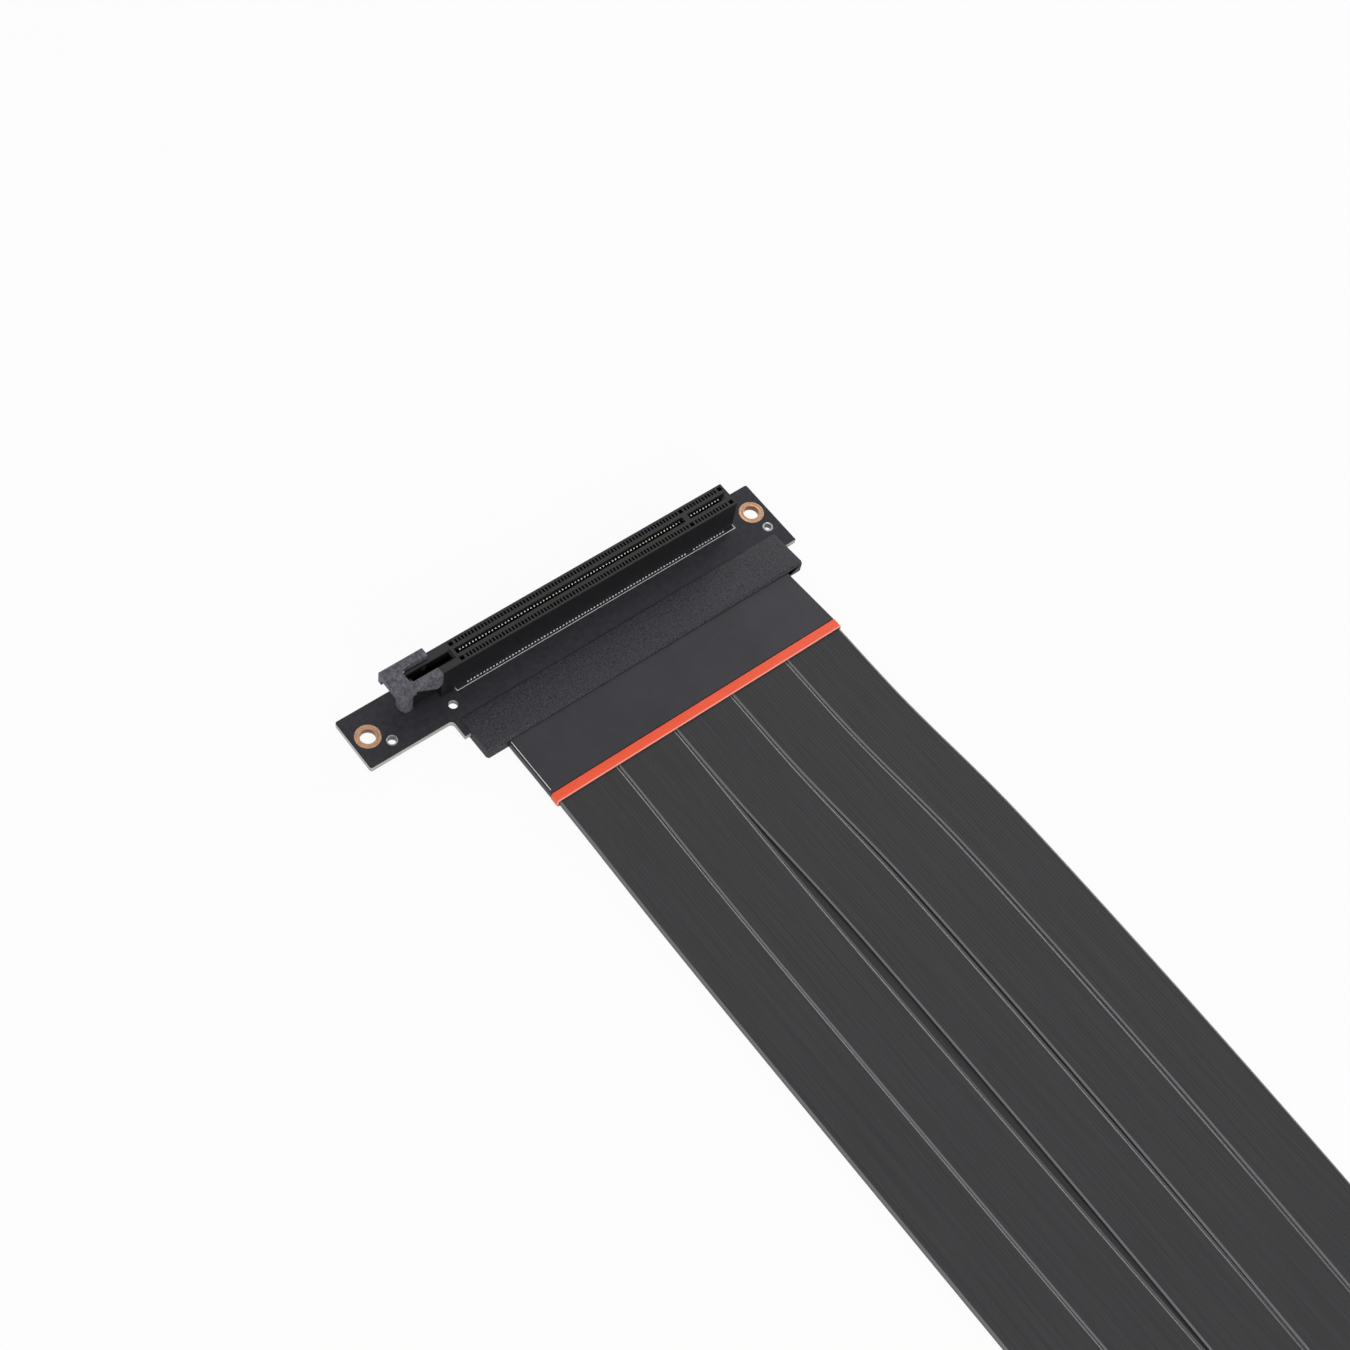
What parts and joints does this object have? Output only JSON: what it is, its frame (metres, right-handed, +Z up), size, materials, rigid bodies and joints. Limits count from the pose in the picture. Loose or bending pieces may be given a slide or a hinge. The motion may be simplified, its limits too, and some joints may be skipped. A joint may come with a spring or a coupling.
{
  "type": "riser cable",
  "caption": "Flat ribbon riser cable for a graphics card, with a slotted socket board, a hinged card latch and an edge-card plug.",
  "frame": {"origin": "on the surface that the cable lies on, under the middle of the box round its two ends", "axes": "+Y towards the socket end along the cable, +X along the slot towards its bracket end, +Z up"},
  "size_m": [0.1322, 0.3518, 0.0158],
  "materials": {
    "solder_mask": "black satin solder mask over glass-fibre board",
    "slot_plastic": "black moulded thermoplastic, satin",
    "latch_plastic": "mottled dark grey glass-filled nylon",
    "cover_plastic": "fine-grained matte dark grey moulding",
    "sleeve_film": "smooth satin dark grey film",
    "band_film": "orange red satin film",
    "ribbon_jacket": "semi-gloss black ribbon with fine lengthwise ridges",
    "copper_pad": "bare copper plating",
    "tinned_pad": "tinned plating"
  },
  "bodies": {
    "riser": {"socket_board": "solder_mask", "slot_housing": "slot_plastic", "mounting_eyelet_left": "copper_pad", "mounting_eyelet_right": "copper_pad", "tooling_eyelet_left": "tinned_pad", "tooling_eyelet_right": "tinned_pad", "socket_cover": "cover_plastic", "socket_sleeve": "sleeve_film", "socket_band": "band_film", "upper_ribbon_1": "ribbon_jacket", "upper_ribbon_2": "ribbon_jacket", "upper_ribbon_3": "ribbon_jacket", "upper_ribbon_4": "ribbon_jacket", "upper_ribbon_5": "ribbon_jacket", "lower_ribbon_1": "ribbon_jacket", "lower_ribbon_2": "ribbon_jacket", "lower_ribbon_3": "ribbon_jacket", "lower_ribbon_4": "ribbon_jacket", "lower_ribbon_5": "ribbon_jacket", "plug_board": "solder_mask", "plug_cover": "cover_plastic", "plug_sleeve": "sleeve_film", "plug_band": "band_film"},
    "latch": {"slot_latch": "latch_plastic"}
  },
  "joints": [
    {"name": "latch_hinge", "type": "hinge", "parent": "riser", "child": "latch", "pos_m": [-0.04238, 0.17087, 0.01215], "axis": [0, -1, 0], "range_deg": [0, 20]}
  ]
}
